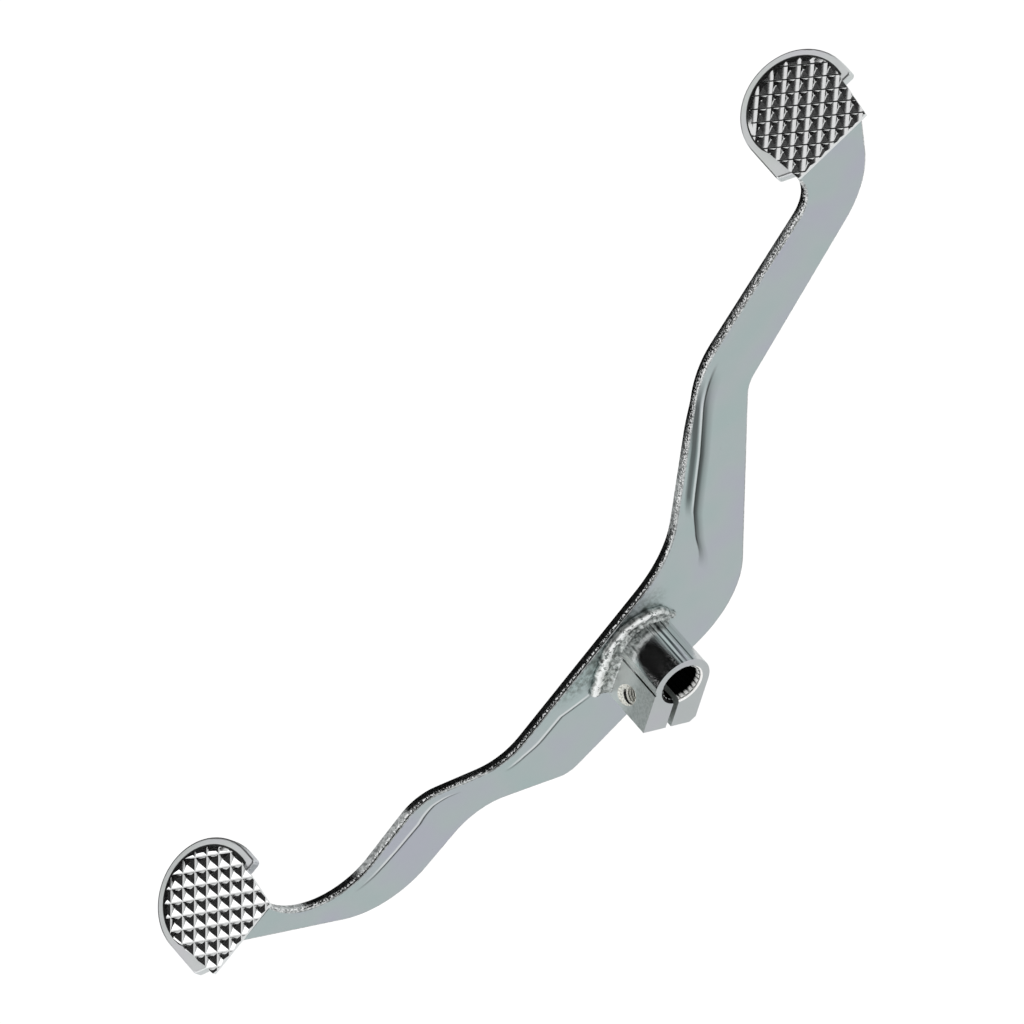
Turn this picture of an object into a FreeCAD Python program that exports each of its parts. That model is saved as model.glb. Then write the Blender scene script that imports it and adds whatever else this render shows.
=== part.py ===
import FreeCAD, Part
import math
import os

import Sketcher
from FreeCAD import Placement, Rotation, Vector

# Heel-and-toe gear shift lever, in millimetres.
# The origin is on the spindle axis at the arm's engine-side face.
# +X points along the arm to the toe pad, +Z up, and the boss points to -Y, towards the engine.

SIZES = {
    # Pressed arm. Reaches and heights are measured from the spindle axis to the outline's sharp corners.
    "sheet_thickness": 3.0,
    "toe_valley_reach": 25.9,
    "toe_valley_height": 21.3,
    "toe_valley_radius": 41.0,
    "toe_crest_reach": 78.3,
    "toe_crest_height": 77.1,
    "toe_crest_radius": 45.0,
    "toe_elbow_reach": 84.8,
    "toe_elbow_height": 55.1,
    "toe_elbow_radius": 14.0,
    "toe_belly_reach": 27.8,
    "toe_belly_height": -20.4,
    "toe_belly_radius": 34.0,
    "heel_belly_reach": -46.9,
    "heel_belly_height": -17.6,
    "heel_belly_radius": 9.0,
    "heel_elbow_reach": -70.6,
    "heel_elbow_height": 6.4,
    "heel_elbow_radius": 22.0,
    "heel_crest_reach": -77.9,
    "heel_crest_height": 30.5,
    "heel_crest_radius": 15.0,
    "heel_valley_reach": -54.5,
    "heel_valley_height": 10.5,
    "heel_valley_radius": 20.0,
    "spindle_gap": 0.6,
    # Corners of the arm near its ends, measured back and down from the pads.
    "toe_neck_back": 15.9,
    "toe_neck_drop": 9.9,
    "toe_neck_radius": 15.0,
    "toe_heel_back": 2.8,
    "toe_heel_drop": 25.9,
    "toe_heel_radius": 42.0,
    "heel_neck_back": 14.6,
    "heel_neck_drop": 26.7,
    "heel_neck_radius": 24.0,
    "heel_bend_back": 30.9,
    "heel_bend_drop": 46.5,
    "heel_bend_radius": 30.0,
    # Where each pad sits: middle of its inboard edge, its fall away from the hub, and the arm's end below it.
    "toe_pad_reach": 159.8,
    "toe_pad_height": 108.1,
    "toe_pad_fall_angle": 5.4,
    "toe_end_width": 26.2,
    "toe_end_offset": -1.1,
    "heel_pad_reach": -142.8,
    "heel_pad_height": 49.0,
    "heel_pad_fall_angle": 7.1,
    "heel_end_width": 13.6,
    "heel_end_offset": 6.2,
    # Splined clamp boss.
    "boss_radius": 9.8,
    "boss_length": 19.4,
    "ear_reach": 16.9,
    "ear_drop_angle": 36.8,
    "ear_corner": 1.8,
    "spline_tip_radius": 6.3,
    "spline_root_radius": 6.9,
    "spline_teeth": 24,
    "spline_tip_gap": 0.9,
    "spline_root_gap": 0.5,
    "clamp_slot": 2.0,
    "bolt_offset": 10.9,
    "bolt_station": 8.4,
    "bolt_tap_diameter": 5.0,
    "bolt_clear_diameter": 6.4,
    "bolt_mouth": 0.7,
    # Weld bead round the foot of the boss.
    "bead_foot": 4.5,
    "bead_height": 3.4,
    "bead_swell": 0.7,
    "bead_turn_angle": 118.0,
    # Pads: base plate and the knurled tread on it.
    "base_thickness": 3.0,
    "base_radius": 18.8,
    "base_end_station": 6.2,
    "base_notch_station": 15.0,
    "base_notch_side": 12.8,
    "base_corner": 1.2,
    "base_round": 0.7,
    "tread_radius": 16.0,
    "tread_reach": 19.7,
    "tread_edge_width": 27.6,
    "tread_web": 0.8,
    "knurl_height": 1.2,
    "knurl_pitch": 4.35,
    "knurl_tip": 0.3,
    "knurl_turn_angle": 2.3,
    "seam_leg": 2.5,
    "toe_seam_length": 18.0,
    "toe_seam_offset": -2.0,
    "heel_seam_length": 8.0,
    "heel_seam_offset": 6.4,
}

doc = FreeCAD.newDocument("gear_shift_lever")
sizes = doc.addObject("Spreadsheet::Sheet", "sizes")
for row, (name, number) in enumerate(SIZES.items(), start=1):
    sizes.set(f"A{row}", name)
    sizes.set(f"B{row}", str(number))
    sizes.setAlias(f"B{row}", name)
doc.recompute()


def value(expression):
    return float(sizes.evalExpression(expression))


def new_body(label):
    body = doc.addObject("PartDesign::Body", label)
    body.Label = label
    return body


def new_sketch(body, name, role):
    sketch = body.newObject("Sketcher::SketchObject", name)
    plane = next(part for part in body.Origin.OriginFeatures if part.Role == role)
    sketch.AttachmentSupport = [(plane, "")]
    sketch.MapMode = "FlatFace"
    return sketch


def bind(sketch, constraint, expression):
    index = sketch.addConstraint(constraint)
    sketch.setExpression(f"Constraints[{index}]", expression)


def place_point(sketch, geometry, end, across, up):
    bind(sketch, Sketcher.Constraint("DistanceX", -1, 1, geometry, end, value(across)), across)
    bind(sketch, Sketcher.Constraint("DistanceY", -1, 1, geometry, end, value(up)), up)


def draw_outline(sketch, corners):
    # Each corner is (across, up, radius) in sheet expressions. A radius of None leaves it sharp.
    points = [Vector(value(across), value(up), 0) for across, up, radius in corners]
    count = len(points)
    enters = []
    leaves = []
    for index, (across, up, radius) in enumerate(corners):
        point = points[index]
        if radius is None:
            enters.append(point)
            leaves.append(point)
            continue
        before = (points[index - 1] - point).normalize()
        after = (points[(index + 1) % count] - point).normalize()
        half = before.getAngle(after) / 2
        setback = value(radius) / math.tan(half)
        enters.append(point + before * setback)
        leaves.append(point + after * setback)
    lines = []
    for index in range(count):
        segment = Part.LineSegment(leaves[index], enters[(index + 1) % count])
        lines.append(sketch.addGeometry(segment, False))
    for index, (across, up, radius) in enumerate(corners):
        before_line = lines[index - 1]
        after_line = lines[index]
        if radius is None:
            sketch.addConstraint(Sketcher.Constraint("Coincident", before_line, 2, after_line, 1))
            place_point(sketch, after_line, 1, across, up)
            continue
        corner_arc = add_corner_arc(sketch, points[index], enters[index], leaves[index], value(radius))
        arc, enter_end, leave_end = corner_arc
        sketch.addConstraint(Sketcher.Constraint("Tangent", before_line, 2, arc, enter_end))
        sketch.addConstraint(Sketcher.Constraint("Tangent", after_line, 1, arc, leave_end))
        bind(sketch, Sketcher.Constraint("Radius", arc, value(radius)), radius)
        corner = sketch.addGeometry(Part.Point(points[index]), True)
        sketch.addConstraint(Sketcher.Constraint("PointOnObject", corner, 1, before_line))
        sketch.addConstraint(Sketcher.Constraint("PointOnObject", corner, 1, after_line))
        place_point(sketch, corner, 1, across, up)


def add_corner_arc(sketch, corner, enter, leave, radius):
    inward = ((enter - corner) + (leave - corner)).normalize()
    half = (enter - corner).getAngle(leave - corner) / 2
    centre = corner + inward * (radius / math.sin(half))
    left_turn = (corner - enter).cross(leave - corner).z > 0
    first, last = (enter, leave) if left_turn else (leave, enter)
    start_angle = math.atan2(first.y - centre.y, first.x - centre.x)
    end_angle = math.atan2(last.y - centre.y, last.x - centre.x)
    circle = Part.Circle(centre, Vector(0, 0, 1), radius)
    arc = sketch.addGeometry(Part.ArcOfCircle(circle, start_angle, end_angle), False)
    return (arc, 1, 2) if left_turn else (arc, 2, 1)


def draw_circle(sketch, across, up, radius):
    centre = Vector(value(across), value(up), 0)
    circle = sketch.addGeometry(Part.Circle(centre, Vector(0, 0, 1), value(radius)), False)
    place_point(sketch, circle, 3, across, up)
    bind(sketch, Sketcher.Constraint("Radius", circle, value(radius)), radius)


def add_pad(body, name, sketch, length, reverse=False):
    pad = body.newObject("PartDesign::Pad", name)
    pad.Profile = sketch
    pad.Reversed = reverse
    pad.setExpression("Length", length)
    return pad


def add_cut(body, name, sketch, reverse=False, both_ways=False):
    pocket = body.newObject("PartDesign::Pocket", name)
    pocket.Profile = sketch
    pocket.Type = "ThroughAll"
    pocket.Reversed = reverse
    pocket.Midplane = both_ways
    return pocket


def pad_end(side, share):
    # A point on the arm's end below a pad, as (across, up) expressions. share runs along the pad's inboard edge.
    away = "1" if side == "toe" else "-1"
    along = f"(sizes.{side}_end_offset + {share} * sizes.{side}_end_width)"
    across = f"sizes.{side}_pad_reach + {along} * cos(sizes.{side}_pad_fall_angle)"
    up = f"sizes.{side}_pad_height - {away} * {along} * sin(sizes.{side}_pad_fall_angle)"
    return across, up


def arm_corner(name):
    # A corner measured from the spindle axis, with its radius.
    return f"sizes.{name}_reach", f"sizes.{name}_height", f"sizes.{name}_radius"


def corner_by_pad(side, name):
    # A corner measured back towards the hub and down from the middle of the pad's inboard edge.
    back = "-" if side == "toe" else "+"
    across = f"sizes.{side}_pad_reach {back} sizes.{side}_{name}_back"
    up = f"sizes.{side}_pad_height - sizes.{side}_{name}_drop"
    return across, up, f"sizes.{side}_{name}_radius"


def build_arm():
    body = new_body("lever_arm")
    sketch = new_sketch(body, "arm_outline", "XZ_Plane")
    corners = [
        (*pad_end("heel", "(-0.5)"), None),
        corner_by_pad("heel", "bend"),
        arm_corner("heel_elbow"),
        arm_corner("heel_belly"),
        arm_corner("toe_belly"),
        arm_corner("toe_elbow"),
        corner_by_pad("toe", "heel"),
        (*pad_end("toe", "0.5"), None),
        (*pad_end("toe", "(-0.5)"), None),
        corner_by_pad("toe", "neck"),
        arm_corner("toe_crest"),
        arm_corner("toe_valley"),
        arm_corner("heel_valley"),
        arm_corner("heel_crest"),
        corner_by_pad("heel", "neck"),
        (*pad_end("heel", "0.5"), None),
    ]
    draw_outline(sketch, corners)
    draw_circle(sketch, "0", "0", "sizes.spline_root_radius + sizes.spindle_gap")
    add_pad(body, "arm_sheet", sketch, "sizes.sheet_thickness", reverse=True)
    return body


def build_boss():
    body = new_body("shaft_boss")
    outline = new_sketch(body, "boss_outline", "XZ_Plane")
    draw_boss_outline(outline)
    add_pad(body, "boss_block", outline, "sizes.boss_length")
    bore = new_sketch(body, "bore_circle", "XZ_Plane")
    draw_circle(bore, "0", "0", "sizes.spline_tip_radius")
    add_cut(body, "spline_bore", bore, both_ways=True)
    cut_splines(body)
    slot = new_sketch(body, "slot_outline", "XZ_Plane")
    draw_outline(slot, [
        ("-2 * sizes.ear_reach", "-sizes.clamp_slot / 2", None),
        ("0", "-sizes.clamp_slot / 2", None),
        ("0", "sizes.clamp_slot / 2", None),
        ("-2 * sizes.ear_reach", "sizes.clamp_slot / 2", None),
    ])
    add_cut(body, "clamp_slot_cut", slot, both_ways=True)
    cut_bolt_holes(body)
    body.Placement = Placement(Vector(0, 0, 0), Rotation(Vector(0, 1, 0), -value("sizes.ear_drop_angle")))
    body.setExpression("Placement.Rotation.Angle", "sizes.ear_drop_angle")
    body.setExpression("Placement.Rotation.Axis.y", "-1")
    return body


def draw_boss_outline(sketch):
    # A round back with flat sides that run out to the two clamp ears.
    radius = value("sizes.boss_radius")
    reach = value("sizes.ear_reach")
    corner = value("sizes.ear_corner")
    back = Part.ArcOfCircle(Part.Circle(Vector(0, 0, 0), Vector(0, 0, 1), radius), -math.pi / 2, math.pi / 2)
    arc = sketch.addGeometry(back, False)
    path = [
        Vector(0, radius, 0),
        Vector(-reach, radius, 0),
        Vector(-reach, corner - radius, 0),
        Vector(corner - reach, -radius, 0),
        Vector(0, -radius, 0),
    ]
    sides = []
    for start, end in zip(path, path[1:]):
        sides.append(sketch.addGeometry(Part.LineSegment(start, end), False))
    top, end, bevel, bottom = sides
    sketch.addConstraint([
        Sketcher.Constraint("Coincident", arc, 3, -1, 1),
        Sketcher.Constraint("Tangent", arc, 2, top, 1),
        Sketcher.Constraint("Coincident", top, 2, end, 1),
        Sketcher.Constraint("Coincident", end, 2, bevel, 1),
        Sketcher.Constraint("Coincident", bevel, 2, bottom, 1),
        Sketcher.Constraint("Tangent", bottom, 2, arc, 1),
        Sketcher.Constraint("Horizontal", top),
        Sketcher.Constraint("Vertical", end),
        Sketcher.Constraint("Horizontal", bottom),
    ])
    bind(sketch, Sketcher.Constraint("Radius", arc, radius), "sizes.boss_radius")
    bind(sketch, Sketcher.Constraint("DistanceX", end, 1, -1, 1, reach), "sizes.ear_reach")
    bind(sketch, Sketcher.Constraint("DistanceX", bevel, 1, bevel, 2, corner), "sizes.ear_corner")
    bind(sketch, Sketcher.Constraint("DistanceY", bevel, 2, bevel, 1, corner), "sizes.ear_corner")


def cut_splines(body):
    # One groove between two teeth, repeated round the bore. It starts inside the bore so that it cuts clean.
    sketch = new_sketch(body, "spline_groove", "XZ_Plane")
    inner = "0.9 * sizes.spline_tip_radius"
    draw_outline(sketch, [
        (inner, "-sizes.spline_tip_gap / 2", None),
        ("sizes.spline_root_radius", "-sizes.spline_root_gap / 2", None),
        ("sizes.spline_root_radius", "sizes.spline_root_gap / 2", None),
        (inner, "sizes.spline_tip_gap / 2", None),
    ])
    groove = add_cut(body, "spline_groove_cut", sketch, both_ways=True)
    pattern = body.newObject("PartDesign::PolarPattern", "spline_ring")
    pattern.Originals = [groove]
    pattern.Axis = (sketch, ["N_Axis"])
    pattern.Angle = 360
    pattern.setExpression("Occurrences", "sizes.spline_teeth")
    body.Tip = pattern


def cut_bolt_holes(body):
    # The pinch bolt passes clear through the lower ear and screws into the upper one.
    for name, diameter, upwards in (
        ("bolt_tap", "sizes.bolt_tap_diameter", True),
        ("bolt_clear", "sizes.bolt_clear_diameter", False),
    ):
        sketch = new_sketch(body, name + "_circle", "XY_Plane")
        draw_circle(sketch, "-sizes.bolt_offset", "-sizes.bolt_station", diameter + " / 2")
        add_cut(body, name + "_hole", sketch, reverse=upwards)
    mouth = new_sketch(body, "bolt_mouth_circle", "XY_Plane")
    mouth.setExpression("AttachmentOffset.Base.z", "sizes.boss_radius - sizes.bolt_mouth")
    draw_circle(mouth, "-sizes.bolt_offset", "-sizes.bolt_station", "sizes.bolt_tap_diameter / 2")
    cone = body.newObject("PartDesign::Pocket", "bolt_mouth_cone")
    cone.Profile = mouth
    cone.Reversed = True
    cone.TaperAngle = 45
    cone.setExpression("Length", "sizes.bolt_mouth")


def build_bead():
    body = new_body("boss_weld")
    sketch = new_sketch(body, "bead_section", "YZ_Plane")
    draw_bead_section(sketch)
    turn = body.newObject("PartDesign::Revolution", "bead_turn_round_boss")
    turn.Profile = sketch
    turn.ReferenceAxis = (sketch, ["H_Axis"])
    turn.Reversed = False
    turn.setExpression("Angle", "sizes.bead_turn_angle")
    add_pad(body, "bead_along_ear", sketch, "sizes.ear_reach", reverse=True)
    body.Placement = Placement(Vector(0, 0, 0), Rotation(Vector(0, 1, 0), -value("sizes.ear_drop_angle")))
    body.setExpression("Placement.Rotation.Angle", "sizes.ear_drop_angle")
    body.setExpression("Placement.Rotation.Axis.y", "-1")
    return body


def draw_bead_section(sketch):
    # A fillet weld with a swollen face, in the corner between the arm and the boss.
    radius = value("sizes.boss_radius")
    foot = Vector(0, radius + value("sizes.bead_foot"), 0)
    root = Vector(0, radius, 0)
    crown = Vector(-value("sizes.bead_height"), radius, 0)
    outward = Vector(foot.y - radius, crown.x, 0).normalize()
    middle = (foot + crown) * 0.5 + Vector(-abs(outward.x), abs(outward.y), 0) * value("sizes.bead_swell")
    leg = sketch.addGeometry(Part.LineSegment(root, foot), False)
    wall = sketch.addGeometry(Part.LineSegment(crown, root), False)
    face = sketch.addGeometry(Part.Arc(foot, middle, crown), False)
    sketch.addConstraint(Sketcher.Constraint("Coincident", leg, 1, wall, 2))
    face_curve = sketch.Geometry[face]
    starts_at_foot = (face_curve.StartPoint - foot).Length < (face_curve.EndPoint - foot).Length
    foot_end, crown_end = (1, 2) if starts_at_foot else (2, 1)
    sketch.addConstraint(Sketcher.Constraint("Coincident", leg, 2, face, foot_end))
    sketch.addConstraint(Sketcher.Constraint("Coincident", wall, 1, face, crown_end))
    place_point(sketch, leg, 1, "0", "sizes.boss_radius")
    place_point(sketch, leg, 2, "0", "sizes.boss_radius + sizes.bead_foot")
    place_point(sketch, wall, 1, "-sizes.bead_height", "sizes.boss_radius")
    chord = "(sizes.bead_foot ^ 2 + sizes.bead_height ^ 2)"
    bow = f"{chord} / (8 * sizes.bead_swell) + sizes.bead_swell / 2"
    bind(sketch, Sketcher.Constraint("Radius", face, value(bow)), bow)


def seat_on_arm(body, side):
    # Pads share one frame: seat plane z = 0, inboard edge along x at y = 0, outboard to +y.
    turn = "1" if side == "toe" else "-1"
    reach = value(f"sizes.{side}_pad_reach")
    height = value(f"sizes.{side}_pad_height")
    fall = value(f"sizes.{side}_pad_fall_angle")
    body.Placement = Placement(Vector(reach, 0, height), Rotation(Vector(0, float(turn), 0), fall))
    body.setExpression("Placement.Base.x", f"sizes.{side}_pad_reach")
    body.setExpression("Placement.Base.z", f"sizes.{side}_pad_height")
    body.setExpression("Placement.Rotation.Angle", f"sizes.{side}_pad_fall_angle")
    body.setExpression("Placement.Rotation.Axis.y", turn)


def build_tread(side):
    body = new_body(f"{side}_pad_tread")
    outline = new_sketch(body, f"{side}_tread_outline", "XY_Plane")
    draw_tread_outline(outline)
    add_pad(body, f"{side}_tread_plate", outline, "sizes.tread_web + sizes.knurl_height")
    for name, turn in (("right", 45), ("left", 135)):
        cut_knurl(body, f"{side}_{name}", turn)
    seat_on_arm(body, side)
    return body


def draw_tread_outline(sketch):
    # Round outboard end with two sides that close in a little to the straight inboard edge.
    half_edge = value("sizes.tread_edge_width / 2")
    radius = value("sizes.tread_radius")
    reach = value("sizes.tread_reach")
    far = math.hypot(half_edge, reach)
    side_length = math.sqrt(far ** 2 - radius ** 2)
    direction = math.pi - math.atan2(reach, half_edge) - math.asin(radius / far)
    right = Vector(half_edge, 0, 0)
    left = Vector(-half_edge, 0, 0)
    touch = right + Vector(math.cos(direction), math.sin(direction), 0) * side_length
    mirror = Vector(-touch.x, touch.y, 0)
    centre = Vector(0, reach, 0)
    start_angle = math.atan2(touch.y - reach, touch.x)
    end_angle = math.pi - start_angle
    edge = sketch.addGeometry(Part.LineSegment(left, right), False)
    right_side = sketch.addGeometry(Part.LineSegment(right, touch), False)
    crown = sketch.addGeometry(
        Part.ArcOfCircle(Part.Circle(centre, Vector(0, 0, 1), radius), start_angle, end_angle), False)
    left_side = sketch.addGeometry(Part.LineSegment(mirror, left), False)
    sketch.addConstraint([
        Sketcher.Constraint("Coincident", edge, 2, right_side, 1),
        Sketcher.Constraint("Tangent", right_side, 2, crown, 1),
        Sketcher.Constraint("Tangent", crown, 2, left_side, 1),
        Sketcher.Constraint("Coincident", left_side, 2, edge, 1),
    ])
    place_point(sketch, edge, 1, "-sizes.tread_edge_width / 2", "0")
    place_point(sketch, edge, 2, "sizes.tread_edge_width / 2", "0")
    place_point(sketch, crown, 3, "0", "sizes.tread_reach")
    bind(sketch, Sketcher.Constraint("Radius", crown, radius), "sizes.tread_radius")


def cut_knurl(body, name, turn):
    # Straight V grooves across the plate, near its diagonals. Two crossing sets leave the square pyramids.
    pitch = value("sizes.knurl_pitch")
    middle = f"sizes.tread_reach * sin({turn} + sizes.knurl_turn_angle)"
    span = value("sizes.tread_radius + sizes.tread_edge_width / 2") + value(middle)
    steps = math.ceil(span / pitch / 2)
    sketch = new_sketch(body, f"{name}_groove", "XZ_Plane")
    sketch.AttachmentOffset = Placement(Vector(0, 0, 0), Rotation(Vector(0, 1, 0), turn))
    sketch.setExpression("AttachmentOffset.Rotation.Angle", f"{turn} + sizes.knurl_turn_angle")
    first = f"{middle} - {steps} * sizes.knurl_pitch"
    half = "(sizes.knurl_pitch - sizes.knurl_tip) / 2"
    top = "sizes.tread_web + sizes.knurl_height"
    draw_outline(sketch, [
        (first, "sizes.tread_web", None),
        (f"{first} + {half}", top, None),
        (f"{first} + {half}", f"{top} + sizes.knurl_height", None),
        (f"{first} - {half}", f"{top} + sizes.knurl_height", None),
        (f"{first} - {half}", top, None),
    ])
    groove = add_cut(body, f"{name}_groove_cut", sketch, both_ways=True)
    pattern = body.newObject("PartDesign::LinearPattern", f"{name}_grooves")
    pattern.Originals = [groove]
    pattern.Direction = (sketch, ["H_Axis"])
    pattern.Occurrences = 2 * steps + 1
    pattern.setExpression("Length", f"{2 * steps} * sizes.knurl_pitch")
    body.Tip = pattern


def build_base(side):
    body = new_body(f"{side}_pad_base")
    outline = new_sketch(body, f"{side}_base_outline", "XY_Plane")
    draw_base_outline(outline)
    plate = add_pad(body, f"{side}_base_plate", outline, "sizes.base_thickness", reverse=True)
    doc.recompute()
    corners = body.newObject("PartDesign::Fillet", f"{side}_base_corners")
    corners.Base = (plate, corner_edges(plate.Shape))
    corners.setExpression("Radius", "sizes.base_corner")
    doc.recompute()
    rim = body.newObject("PartDesign::Fillet", f"{side}_base_rim")
    rim.Base = (corners, rim_edges(corners.Shape))
    rim.setExpression("Radius", "sizes.base_round")
    seat_on_arm(body, side)
    return body


def corner_edges(shape):
    # The upright edges at the two ends of the rim.
    outer = value("sizes.base_radius")
    middle = value("sizes.tread_reach - 1e-3")
    names = []
    for number, edge in enumerate(shape.Edges, start=1):
        box = edge.BoundBox
        upright = box.XLength < 1e-6 and box.YLength < 1e-6
        if upright and abs(abs(box.XMax) - outer) < 1e-6 and box.YMax < middle:
            names.append(f"Edge{number}")
    return names


def rim_edges(shape):
    # The upper outer edges: the round end and the two straight sides beside it.
    outer = value("sizes.base_radius")
    names = []
    for number, edge in enumerate(shape.Edges, start=1):
        box = edge.BoundBox
        on_top = abs(box.ZMin) < 1e-6 and abs(box.ZMax) < 1e-6
        at_side = box.XLength < 1e-6 and abs(abs(box.XMax) - outer) < 1e-6
        round_end = abs(box.XLength - 2 * outer) < 1e-3 and box.YLength > outer / 2
        if on_top and (at_side or round_end):
            names.append(f"Edge{number}")
    return names


def draw_base_outline(sketch):
    # Wider than the tread all round, butted against the arm's outer face, with one corner notched.
    radius = value("sizes.base_radius")
    points = [
        ("-sizes.base_radius", "sizes.base_end_station"),
        ("-sizes.base_notch_side", "sizes.sheet_thickness"),
        ("sizes.base_notch_side", "sizes.sheet_thickness"),
        ("sizes.base_notch_side", "sizes.base_notch_station"),
        ("sizes.base_radius", "sizes.base_notch_station"),
    ]
    spots = [Vector(value(across), value(up), 0) for across, up in points]
    centre = Vector(0, value("sizes.tread_reach"), 0)
    path = [centre - Vector(radius, 0, 0), *spots, centre + Vector(radius, 0, 0)]
    lines = []
    for start, end in zip(path, path[1:]):
        lines.append(sketch.addGeometry(Part.LineSegment(start, end), False))
    circle = Part.Circle(centre, Vector(0, 0, 1), radius)
    crown = sketch.addGeometry(Part.ArcOfCircle(circle, 0, math.pi), False)
    for first, second in zip(lines, lines[1:]):
        sketch.addConstraint(Sketcher.Constraint("Coincident", first, 2, second, 1))
    sketch.addConstraint([
        Sketcher.Constraint("Tangent", lines[-1], 2, crown, 1),
        Sketcher.Constraint("Tangent", crown, 2, lines[0], 1),
    ])
    for line, (across, up) in zip(lines[1:], points):
        place_point(sketch, line, 1, across, up)
    place_point(sketch, crown, 3, "0", "sizes.tread_reach")
    bind(sketch, Sketcher.Constraint("Radius", crown, radius), "sizes.base_radius")


def build_seam(side):
    # The fillet weld that holds the base plate to the arm's outer face.
    body = new_body(f"{side}_pad_weld")
    sketch = new_sketch(body, f"{side}_seam_section", "YZ_Plane")
    draw_outline(sketch, [
        ("sizes.sheet_thickness", "-sizes.base_thickness", None),
        ("sizes.sheet_thickness", "-sizes.base_thickness - sizes.seam_leg", None),
        ("sizes.sheet_thickness + sizes.seam_leg", "-sizes.base_thickness", None),
    ])
    start = f"sizes.{side}_seam_offset - sizes.{side}_seam_length / 2"
    sketch.setExpression("AttachmentOffset.Base.z", start)
    add_pad(body, f"{side}_seam", sketch, f"sizes.{side}_seam_length")
    seat_on_arm(body, side)
    return body


bodies = [build_arm(), build_boss(), build_bead()]
for end_name in ("toe", "heel"):
    bodies.append(build_base(end_name))
    bodies.append(build_tread(end_name))
    bodies.append(build_seam(end_name))
doc.recompute()

for item in doc.Objects:
    if "Invalid" in item.State or "Error" in item.State:
        raise RuntimeError(f"{item.Label} did not rebuild: {item.State}")
for body in bodies:
    if body.Shape.isNull() or not body.Shape.isValid():
        raise RuntimeError(f"{body.Label} has no valid shape")

os.makedirs("parts", exist_ok=True)
for body in bodies:
    box = body.Shape.BoundBox
    print(body.Label, len(body.Shape.Solids), round(body.Shape.Volume, 1), box)
    body.Shape.exportStep(f"parts/{body.Label}.step")
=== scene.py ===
import math

import bpy
import numpy as np
from mathutils import Matrix, Vector, noise


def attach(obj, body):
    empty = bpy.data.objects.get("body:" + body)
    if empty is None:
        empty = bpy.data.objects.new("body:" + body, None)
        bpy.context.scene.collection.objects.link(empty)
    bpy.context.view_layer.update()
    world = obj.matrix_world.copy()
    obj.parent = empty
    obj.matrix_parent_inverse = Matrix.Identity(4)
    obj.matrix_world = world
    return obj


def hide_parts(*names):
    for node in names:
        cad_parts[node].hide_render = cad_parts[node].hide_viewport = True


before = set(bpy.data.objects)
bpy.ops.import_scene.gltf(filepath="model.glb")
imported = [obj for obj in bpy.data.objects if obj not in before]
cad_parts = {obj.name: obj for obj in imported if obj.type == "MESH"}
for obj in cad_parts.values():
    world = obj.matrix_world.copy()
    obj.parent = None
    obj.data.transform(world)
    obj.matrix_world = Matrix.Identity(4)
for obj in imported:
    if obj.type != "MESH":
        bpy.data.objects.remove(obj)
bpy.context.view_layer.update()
mm = 0.001

# The camera's axes in the part's frame, as the pads, the boss and the arm's outline give them in the picture.
cameraPlan = {
    "right": (0.6767, -0.5480, -0.4916),
    "up": (0.7222, 0.6239, 0.2987),
    "back": (0.1430, -0.5572, 0.8180),
    "distance": 10000.0,
    "mmPerPixel": 0.30,
    "pictureSize": 1024,
    "originPixel": (646.5, 644.5),
    "sensor": 36.0,
}


def makeCamera(plan):
    half = plan["pictureSize"] / 2
    right, up, back = (Vector(plan[key]) for key in ("right", "up", "back"))
    across = (half - plan["originPixel"][0]) * plan["mmPerPixel"]
    rise = (plan["originPixel"][1] - half) * plan["mmPerPixel"]
    bpy.ops.object.camera_add()
    camera = bpy.context.object
    camera.name = "pictureCamera"
    turn = Matrix((right, up, back)).transposed().to_4x4()
    place = (right * across + up * rise + back * plan["distance"]) * mm
    camera.matrix_world = Matrix.Translation(place) @ turn
    pixels = plan["distance"] / plan["mmPerPixel"]
    camera.data.sensor_width = plan["sensor"]
    camera.data.lens = pixels * plan["sensor"] / plan["pictureSize"]
    camera.data.clip_end = 3 * plan["distance"] * mm
    camera.data.dof.use_dof = False
    bpy.context.scene.camera = camera
    print("camera lens", round(camera.data.lens))


makeCamera(cameraPlan)


def linear(hexText):
    channels = [int(hexText[i:i + 2], 16) / 255 for i in (1, 3, 5)]
    return [c / 12.92 if c <= 0.04045 else ((c + 0.055) / 1.055) ** 2.4 for c in channels] + [1.0]


# Settings are sockets or properties by name. Hex text is a colour, and stops fill a colour ramp. A link comes
# from a socket, or from a node's first one.
def addNode(tree, kind, settings=None, links=None):
    node = tree.nodes.new("ShaderNode" + kind)
    for name, setting in (settings or {}).items():
        if isinstance(setting, str) and setting.startswith("#"):
            setting = linear(setting)
        if name == "stops":
            points = node.color_ramp.elements
            while len(points) < len(setting):
                points.new(1.0)
            for point, (position, colour) in zip(points, setting):
                point.position, point.color = position, linear(colour)
        elif isinstance(name, int) or name in node.inputs:
            node.inputs[name].default_value = setting
        else:
            setattr(node, name, setting)
    for name, source in (links or {}).items():
        socket = source.outputs[0] if isinstance(source, bpy.types.Node) else source
        tree.links.new(socket, node.inputs[name])
    return node


def addShape(adder, **settings):
    bpy.ops.object.select_all(action="DESELECT")
    adder(**settings)
    return bpy.context.object


def newMaterial(name):
    material = bpy.data.materials.new(name)
    material.use_nodes = True
    tree = material.node_tree
    tree.nodes.clear()
    return material, tree


def closeMaterial(material, shader):
    addNode(material.node_tree, "OutputMaterial", links={"Surface": shader})
    return material


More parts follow.
